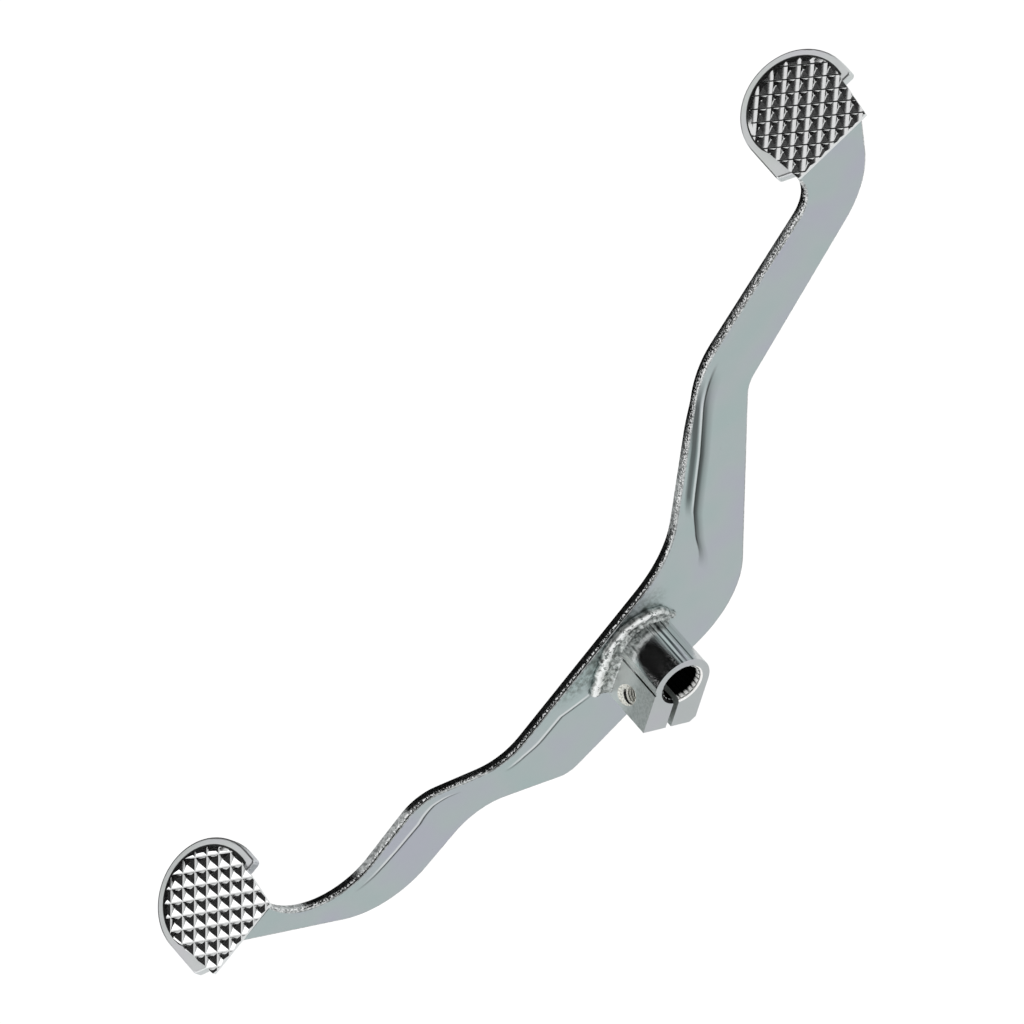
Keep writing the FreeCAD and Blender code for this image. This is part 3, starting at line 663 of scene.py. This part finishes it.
def makeArm(plan):
    top, low = (edgeStations(plan[key], plan) for key in ("topEdge", "lowEdge"))
    bends = np.arange(len(top)) / plan["spanColumns"]
    width = np.linalg.norm(low - top, axis=1)
    inward = (low - top) / width[:, None]
    crease = alongPlan(plan["crease"], bends)
    height = alongPlan(plan["creaseHeight"], bends)
    near = np.array(plan["nearRows"])
    room = np.clip((width - crease - 2 * plan["edgeRow"]) / near[-1], plan["leastRoom"], 1)
    near = crease[:, None] + np.where(near > 0, near * room[:, None], near)
    above = near[:, :1] * np.array(plan["aboveRows"])
    last = (width - plan["edgeRow"])[:, None]
    far = near[:, -1:] + (last - near[:, -1:]) * np.linspace(0, 1, plan["farRows"] + 1)[1:]
    rows = np.concatenate([np.zeros((len(top), 1)), above, near, far, width[:, None]], axis=1)
    piece, column, row = addGrid("pressedArm", len(top) - 1, rows.shape[1] - 1)
    row = rows.shape[1] - 1 - row
    inside = rows[column, row]
    flat = top[column] + inward[column] * inside[:, None]
    offset = inside - crease[column]
    lift = height[column] * alongPlan(plan["creaseSection"], offset)
    placeVertices(piece, np.stack([flat[:, 0], -lift, flat[:, 1]], -1))
    # Painted shade (dark line, dark band, soft shade) and painted highlight (bright line) along the crease, stored as
    # one signed attribute.
    line = np.clip(height[column] / plan["lineFullHeight"], 0, 1) * alongPlan(plan["lineSpread"], offset)
    band, shade, glow = (alongPlan(plan[key], bends)[column] * alongPlan(plan[key + "Spread"], offset)
                         for key in ("band", "shade", "glow"))
    addValues(piece, "creaseTone", "POINT", glow - np.maximum(np.maximum(line, band), shade))
    spread = plan["stain"]
    around = np.hypot((flat[:, 0] - spread["middle"][0]) / spread["long"],
                      (flat[:, 1] - spread["middle"][1]) / spread["wide"])
    addValues(piece, "weldStain", "POINT", np.clip((1 - around) * spread["fall"], 0, 1) * spread["share"])
    for material in (armChrome, shearedChrome):
        piece.data.materials.append(material)
    applyModifier(piece, "SOLIDIFY", {"thickness": plan["thickness"] * mm, "offset": -1.0, "material_offset_rim": 1})
    rollEdges(piece, plan, (top[0], low[0]), (top[-1], low[-1]))
    drill = addShape(bpy.ops.mesh.primitive_cylinder_add, vertices=plan["holeSides"], depth=plan["drillLong"] * mm,
                     radius=plan["spindleHole"] * mm, rotation=(math.pi / 2, 0, 0))
    cutWith(piece, drill)
    applyModifier(piece, "BEVEL", {"width": plan["edgeRound"] * mm, "segments": plan["roundSteps"],
                                   "limit_method": "ANGLE", "angle_limit": math.radians(plan["roundAngle"])})
    shadeByAngle(piece, plan["smoothAngle"])
    fitPiece(piece, "arm_chrome", "lever_arm")


makeArm(armPlan)

# Clamp boss: the drawn barrel with its ear, edges broken by a file, and a lead-in at the mouth of the serrated bore.
# The ear's upper flat is milled a little under the barrel, with a scribed line along it. The bolt hole is opened to
# the thread's roots, and its countersink is drawn out to one side. Ear places are (mm along the ear, mm deep).
bossPlan = {
    "edge": 0.2,
    "steps": 2,
    "sharp": 32,
    "merge": 0.002,
    "flatten": 0.5,
    "front": -19.4,
    "boreReach": 7.4,
    "leadRadius": 7.35,
    "leadDeep": 0.9,
    "leadSides": 96,
    "earAngle": 36.8,
    "flatLevel": 9.35,
    "flatFrom": 0.9,
    "flatTo": 25.0,
    "cutMiddle": -9.0,
    "cutLong": 40.0,
    "cutHigh": 4.0,
    "grooveFrom": 2.3,
    "grooveSide": 0.75,
    "grooveRaise": 0.15,
    "hole": (10.9, -8.4),
    "holeSides": 48,
    "holeRadius": 3.0,
    "holeDeep": 8.9,
    "holeRaise": 0.2,
    "mouthDeep": 0.5,
    "mouthFlare": 0.375,
    "mouthLong": 1.4,
    "mouthWay": (-0.636, 0.772),
    "mouthShift": 0.7,
    "mouthReach": 5.7,
    "ledgeSlack": 0.1,
    "ringFacing": 0.9,
    "flatFacing": 0.999,
    "wallFacing": 0.2,
}


def addBossCutters(plan, toEar):
    level, sunk, bore = plan["flatLevel"], plan["mouthDeep"], plan["holeRadius"]
    along, deep = plan["hole"]
    mill = addShape(bpy.ops.mesh.primitive_cube_add, size=mm)
    middle = atPlace(-(plan["flatFrom"] + plan["flatTo"]) / 2, plan["cutMiddle"], level + plan["cutHigh"] / 2)
    mill.data.transform(toEar @ middle @ Matrix.Diagonal((plan["flatTo"] - plan["flatFrom"], plan["cutLong"],
                                                          plan["cutHigh"], 1)))
    drill = addCone(plan["holeSides"], bore, bore, plan["holeDeep"])
    drill.data.transform(toEar @ atPlace(-along, deep, level + plan["holeRaise"] - plan["holeDeep"] / 2))
    mouth = addCone(plan["holeSides"], bore, bore + 2 * plan["mouthFlare"], 2 * sunk)
    way = Vector((*plan["mouthWay"], 0))
    spot = Vector((-along, deep, level)) + way * plan["mouthShift"]
    mouth.data.transform(toEar @ Matrix.Translation(spot * mm) @ Matrix.Scale(plan["mouthLong"], 4, way))
    scriber = addShape(bpy.ops.mesh.primitive_cube_add, size=mm)
    middle = atPlace(-plan["grooveFrom"], plan["cutMiddle"], level + plan["grooveRaise"])
    scriber.data.transform(toEar @ middle @ Matrix.Rotation(math.pi / 4, 4, "Y")
                           @ Matrix.Diagonal((plan["grooveSide"], plan["cutLong"], plan["grooveSide"], 1)))
    wide, shallow = plan["leadRadius"], plan["leadDeep"]
    lead = addCone(plan["leadSides"], wide + shallow, wide - shallow, 2 * shallow)
    lead.data.transform(atPlace(0, plan["front"], 0) @ Matrix.Rotation(-math.pi / 2, 4, "X"))
    return mill, drill, mouth, scriber, lead


def makeBoss(plan):
    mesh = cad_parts["shaft_boss"].data.copy()
    mesh.name = "splinedBoss"
    mesh.materials.clear()
    boss = bpy.data.objects.new("splinedBoss", mesh)
    bpy.context.scene.collection.objects.link(boss)
    cleanMesh(boss, plan["merge"], plan["flatten"])
    toEar = Matrix.Rotation(math.radians(-plan["earAngle"]), 4, "Y")
    for cutter in addBossCutters(plan, toEar):
        cutWith(boss, cutter)
    cleanMesh(boss, plan["merge"], plan["flatten"])
    boss.data.materials.clear()
    barrel, bore, ring, flat, wall, bare = range(6)
    for material in (drawnChrome, boreSteel, ringChrome, pittedChrome, paintedShadeBlack, threadSteel):
        boss.data.materials.append(material)
    flatWay = toEar.to_3x3() @ Vector((0, 0, 1))
    along, deep = plan["hole"]
    holeSpot = toEar.to_3x3() @ Vector((-along, deep, 0)) * mm
    for face in boss.data.polygons:
        out = Vector((face.center.x, 0, face.center.z))
        aside = face.center - holeSpot
        aside -= flatWay * aside.dot(flatWay)
        facing = face.normal.dot(flatWay)
        inMouth = aside.length < plan["mouthReach"] * mm
        face.material_index = barrel
        if abs(face.normal.y) > plan["ringFacing"]:
            face.material_index = ring
        elif out.length < plan["boreReach"] * mm and face.normal.dot(out) < plan["wallFacing"] * out.length:
            face.material_index = bore
        elif abs(facing) > plan["flatFacing"]:
            below = (plan["flatLevel"] - plan["mouthDeep"]) * mm - face.center.dot(flatWay)
            face.material_index = bare if inMouth and abs(below) < plan["ledgeSlack"] * mm else flat
        elif inMouth and face.normal.dot(aside) < 0:
            # The mouth's steep wall gets the black painted shade; the other mouth faces are bare cut steel.
            face.material_index = wall if abs(facing) < plan["wallFacing"] else bare
    applyModifier(boss, "BEVEL", {"width": plan["edge"] * mm, "segments": plan["steps"], "limit_method": "ANGLE",
                                  "angle_limit": math.radians(plan["sharp"])})
    shadeByAngle(boss, plan["sharp"])
    fitPiece(boss, "boss_chrome", "shaft_boss")


makeBoss(bossPlan)

# Thread in the upper ear, for an M6 pinch bolt: a V of 1 mm pitch wound into the drilled hole.
threadPlan = {
    "mouth": (-14.6, -8.4, 1.32),
    "inward": (0.599024, 0.0, -0.800731),
    "root": 3.1,
    "crest": 2.5,
    "pitch": 1.0,
    "halfShare": 0.42,
    "start": 1.4,
    "turns": 6,
    "steps": 36,
    "merge": 0.002,
    "smoothAngle": 30,
}


def makeThread(plan):
    piece = addShape(bpy.ops.mesh.primitive_circle_add, vertices=3)
    piece.name = piece.data.name = "pinchBoltThread"
    half = plan["pitch"] * plan["halfShare"]
    placeVertices(piece, np.array([(plan["root"], 0, half), (plan["crest"], 0, 0), (plan["root"], 0, -half)]))
    applyModifier(piece, "SCREW", {"axis": "Z", "screw_offset": plan["pitch"] * mm, "iterations": plan["turns"],
                                   "steps": plan["steps"], "render_steps": plan["steps"]})
    cleanMesh(piece, plan["merge"], fillSides=4)
    inward = Vector(plan["inward"])
    turn = inward.to_track_quat("Z", "Y").to_matrix().to_4x4()
    piece.data.transform(Matrix.Translation((Vector(plan["mouth"]) + inward * plan["start"]) * mm) @ turn)
    piece.data.materials.append(threadSteel)
    shadeByAngle(piece, plan["smoothAngle"])
    fitPiece(piece, "boss_chrome")


makeThread(threadPlan)

# Weld bead at the boss's foot: it starts at the ear's end, follows the ear's flat side and rounds the barrel.
# Foot, rise and shine: (mm along the boss's outline from the ear's end, width on the arm, height or painted highlight
# brightness).
# Section: (share of the width from the boss, share of the height). The lumps are given by their sizes in mm,
# along and across, and a seed.
weldPlan = {
    "barrel": 9.8,
    "earAngle": 36.8,
    "earRun": 17.0,
    "length": 39.6,
    "foot": [(0.0, 4.5), (1.2, 7.2), (9.5, 8.0), (15.5, 7.9), (20.7, 7.4), (25.5, 6.6), (29.3, 6.0), (31.8, 6.0),
             (34.6, 4.6), (37.8, 3.4), (39.6, 1.0)],
    "rise": [(0.0, 0.8), (1.5, 1.9), (15.0, 2.1), (25.0, 2.1), (31.8, 2.4), (36.0, 2.0), (39.6, 0.6)],
    "shine": [(0.0, 1.0), (30.0, 1.0), (33.0, 0.55), (39.6, 0.4)],
    "section": [(0.0, 0.7), (0.08, 0.5), (0.2, 0.3), (0.38, 0.25), (0.5, 0.4), (0.6, 0.78), (0.7, 0.97), (0.78, 1.0),
                (0.87, 0.88), (0.95, 0.5), (1.0, 0.0)],
    "shineFrom": 0.4,
    "inBoss": 0.5,
    "inArm": 0.4,
    "wallShare": 0.1,
    "endColumns": 6,
    "ripplePitch": 2.3,
    "rippleHeight": 0.22,
    "rippleLean": 0.7,
    "lump": 0.55,
    "coarseLump": (2.2, 1.6, 3.7),
    "fineLump": (0.65, 0.7, 1.3),
    "fineShare": 0.9,
    "wander": 0.8,
    "wanderRun": 2.1,
    "wanderSeed": (8.1, 0.4),
    "swell": (1.05, 0.1),
    "merge": 0.01,
    "columns": 180,
    "rows": 34,
}


def makeBossWeld(plan):
    piece, column, row = addGrid("bossWeldBead", plan["columns"], plan["rows"])
    turn = math.radians(plan["earAngle"])
    ear = Vector((-math.cos(turn), -math.sin(turn)))
    side = Vector((-math.sin(turn), math.cos(turn)))
    grow, begin = plan["swell"]
    inBoss, inArm, wall = plan["inBoss"], plan["inArm"], plan["wallShare"]
    places, crestHighlights = [], []
    for c, r in zip(column, row):
        run = plan["length"] * c / plan["columns"]
        crest = 0.0
        foot, rise = (alongPlan(plan[key], run) for key in ("foot", "rise"))
        if run < plan["earRun"]:
            base, out = ear * (plan["earRun"] - run) + side * plan["barrel"], side
        else:
            angle = math.pi / 2 + turn - (run - plan["earRun"]) / plan["barrel"]
            out = Vector((math.cos(angle), math.sin(angle)))
            base = out * plan["barrel"]
        share = r / plan["rows"]
        end = math.sin(math.pi * min(1.0, min(c, plan["columns"] - c) / plan["endColumns"]) / 2)
        if share < wall:
            reach, lift = -inBoss, -inArm + (rise + inArm) * share / wall
        elif share < 1 - wall:
            across = (share - wall) / (1 - 2 * wall)
            reach = -inBoss + (foot + inBoss) * across
            lift = rise * alongPlan(plan["section"], across)
            if across > plan["shineFrom"]:
                # Share of the painted highlight along the crest.
                crest = alongPlan(plan["section"], across) * alongPlan(plan["shine"], run)
            swell = math.sin(math.pi * min(1.0, across * grow + begin))
            beat = abs(math.sin(math.pi * (run / plan["ripplePitch"] + plan["rippleLean"] * (across - 0.5) ** 2)))
            lift += swell * plan["rippleHeight"] * (beat - 0.5)
            coarse, fine = (noise.noise(Vector((run / long, across * foot / wide, seed)))
                            for long, wide, seed in (plan["coarseLump"], plan["fineLump"]))
            lift += swell * plan["lump"] * (coarse + plan["fineShare"] * fine)
            reach += plan["wander"] * across * noise.noise(Vector((run / plan["wanderRun"], *plan["wanderSeed"])))
        else:
            across = (1 - share) / wall
            reach, lift = -inBoss + (foot + inBoss) * across, -inArm
        lift = -inArm + (lift + inArm) * end
        spot = base + out * reach
        places.append((spot.x, -lift, spot.y))
        crestHighlights.append(crest)
    placeVertices(piece, np.array(places))
    addValues(piece, "beadCrest", "POINT", crestHighlights)
    cleanMesh(piece, plan["merge"], fillSides=0)
    bpy.ops.object.shade_smooth()
    piece.data.materials.append(weldChrome)
    fitPiece(piece, "weld_chrome", "boss_weld")


makeBossWeld(weldPlan)

# Knurled treads: one stud is raised from a square by insets that narrow, copied over the plate and trimmed to its
# outline. The rows fall off at the round end, where a rolled border runs. A thin black strip of painted shadow lies
# round the tread's foot.
# Seats: where the middle of the inboard edge lies (x, z) and how far the pad falls away, in degrees.
# Valley: how wide the groove's rounded floor is, along and across the stud rows. Rings: shares of a stud's height.
treadPlan = {
    "pitch": 4.35,
    "turn": 47.3,
    "top": 2.0,
    "tip": 0.3,
    "tuck": 0.02,
    "count": 12,
    "merge": 0.01,
    "rings": (0.01, 0.04, 0.09, 0.16, 0.25, 0.94, 1.0),
    "valley": {"toe": (0.12, 1.9), "heel": (0.4, 0.3)},
    "height": {"toe": 1.0, "heel": 1.2},
    "shadedGrooves": {"toe": 1, "heel": 0},
    "seats": {"toe": (159.8, 108.1, 5.4), "heel": (-142.8, 49.0, -7.1)},
    "edgeWidth": 27.6,
    "reach": 19.7,
    "radius": 16.0,
    "crownSteps": 60,
    "trimLevels": (-5.0, 5.0),
    "rollLevels": (-1.0, 3.0),
    "rollFrom": 0.55,
    "rollRun": 2.4,
    "rollFade": ((0, 0.0), (18, 1.0), (168, 1.0), (200, 0.0)),
    "rollAngles": (-15, 215, 70),
    "rollBase": ((-30.0, -3.0), (30.0, -3.0)),
    "rollClear": 8.0,
    "seamWide": 0.6,
    "seamHigh": 0.12,
    "seamInset": 1.0,
    "seamFrom": (6.6, 15.4),
    "smoothAngle": 24,
}


def addPrism(name, outlines, levels):
    count = len(outlines[0])
    piece = addShape(bpy.ops.mesh.primitive_cylinder_add, vertices=count, radius=1, depth=2, end_fill_type="NGON")
    piece.name = piece.data.name = name
    places = []
    for vertex in piece.data.vertices:
        turn = round(math.atan2(vertex.co.y, vertex.co.x) / (2 * math.pi) * count) % count
        end = int(vertex.co.z > 0)
        places.append((*outlines[end][turn], levels[end]))
    placeVertices(piece, np.array(places))
    cleanMesh(piece)
    return piece


def treadOutline(plan, grow=0.0):
    half, reach, radius = plan["edgeWidth"] / 2, plan["reach"], plan["radius"] + grow
    far = math.hypot(half, reach)
    lean = math.pi - math.atan2(reach, half) - math.asin(radius / far)
    start = lean - math.pi / 2
    angles = np.linspace(start, math.pi - start, plan["crownSteps"])
    crown = [(radius * math.cos(angle), reach + radius * math.sin(angle)) for angle in angles]
    return [(-half, 0.0), (half, 0.0)] + crown


def rollOutline(plan, level):
    grow = (plan["rollFrom"] - level) * plan["rollRun"]
    ring = list(plan["rollBase"])
    for angle in np.linspace(*plan["rollAngles"]):
        share = alongPlan(plan["rollFade"], angle)
        radius = plan["radius"] + grow * share + plan["rollClear"] * (1 - share)
        turn = math.radians(angle)
        ring.append((radius * math.cos(turn), plan["reach"] + radius * math.sin(turn)))
    return ring


def seamOutline(plan):
    nearFrom, notchFrom = plan["seamFrom"]
    left = plan["edgeWidth"] / 2 - plan["seamInset"]
    right = left - plan["seamInset"]
    crown = treadOutline(plan, plan["seamWide"])[2:]
    kept = [(x, y) for x, y in crown if y > (notchFrom if x > 0 else nearFrom)]
    return [(-left, nearFrom), (right, nearFrom), (right, notchFrom)] + kept


def addStud(plan, end):
    half, height = plan["pitch"] / 2, plan["height"][end]
    piece = addShape(bpy.ops.mesh.primitive_plane_add, size=plan["pitch"] * mm, location=(0, 0, 0))
    piece.name = piece.data.name = end + "KnurledTread"
    bpy.ops.object.mode_set(mode="EDIT")
    bpy.ops.mesh.select_all(action="SELECT")
    run = half - plan["tip"] / 2
    before = (half, half, 0.0)
    for share in plan["rings"]:
        lift, sides = share * height, []
        for valley in plan["valley"][end]:
            slope = height / (run - valley / 2)
            onFloor = lift <= slope * valley / 2
            sides.append(half - (math.sqrt(2 * valley * lift / slope) if onFloor else lift / slope + valley / 2))
        bpy.ops.mesh.inset(thickness=plan["tuck"] * mm, depth=(lift - before[2]) * mm)
        narrow = [side / (last - plan["tuck"]) for side, last in zip(sides, before)]
        bpy.ops.transform.resize(value=(*narrow, 1), center_override=(0, 0, 0))
        before = (*sides, lift)
    bpy.ops.object.mode_set(mode="OBJECT")
    for material in (knurlChrome, paintedShadeBlack):
        piece.data.materials.append(material)
    mesh = piece.data
    rowPlace = [mesh.vertices[loop.vertex_index].co.x / (half * mm) * plan["shadedGrooves"][end] for loop in mesh.loops]
    addValues(piece, "rowPlace", "CORNER", rowPlace)
    return piece


def makeTread(plan, end):
    pitch, web = plan["pitch"], plan["top"] - plan["height"][end]
    piece = addStud(plan, end)
    for axis in (0, 1):
        offset = [0.0, 0.0, 0.0]
        offset[axis] = pitch * mm
        applyModifier(piece, "ARRAY", {"count": plan["count"], "use_relative_offset": False,
                                       "use_constant_offset": True, "constant_offset_displace": offset,
                                       "use_merge_vertices": True, "merge_threshold": plan["merge"] * mm})
    onlySelect(piece)
    bpy.ops.object.mode_set(mode="EDIT")
    bpy.ops.mesh.select_all(action="DESELECT")
    bpy.ops.mesh.select_mode(type="EDGE")
    bpy.ops.mesh.select_non_manifold(extend=False)
    bpy.ops.mesh.extrude_edges_move(TRANSFORM_OT_translate={"value": (0, 0, -web * mm)})
    bpy.ops.mesh.edge_face_add()
    bpy.ops.object.mode_set(mode="OBJECT")
    cleanMesh(piece)
    back = -(plan["count"] - 1) / 2 * pitch * mm
    turn = Matrix.Rotation(math.radians(plan["turn"]), 4, "Z")
    toPlate = atPlace(0, plan["reach"], web) @ turn
    piece.data.transform(toPlate @ Matrix.Translation((back, back, 0)))
    trim = [treadOutline(plan)] * 2
    cutWith(piece, addPrism("trim", trim, plan["trimLevels"]), "INTERSECT")
    roll = [rollOutline(plan, level) for level in plan["rollLevels"]]
    cutWith(piece, addPrism("roll", roll, plan["rollLevels"]), "INTERSECT")
    # A thin black strip of painted shadow round the tread's foot.
    seam = addPrism("seam", [seamOutline(plan)] * 2, (0.0, plan["seamHigh"]))
    seam.data.materials.append(paintedShadeBlack)
    onlySelect(piece)
    seam.select_set(True)
    bpy.ops.object.join()
    across, up, fall = plan["seats"][end]
    piece.data.transform(atPlace(across, 0, up) @ Matrix.Rotation(math.radians(fall), 4, "Y"))
    onlySelect(piece)
    bpy.ops.object.shade_smooth_by_angle(angle=math.radians(plan["smoothAngle"]))
    fitPiece(piece, "tread_chrome", end + "_pad_tread")


for padEnd in ("toe", "heel"):
    makeTread(treadPlan, padEnd)
    for part, material in (("base", padChrome), ("weld", weldChrome)):
        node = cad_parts[padEnd + "_pad_" + part]
        node.data.materials.clear()
        node.data.materials.append(material)
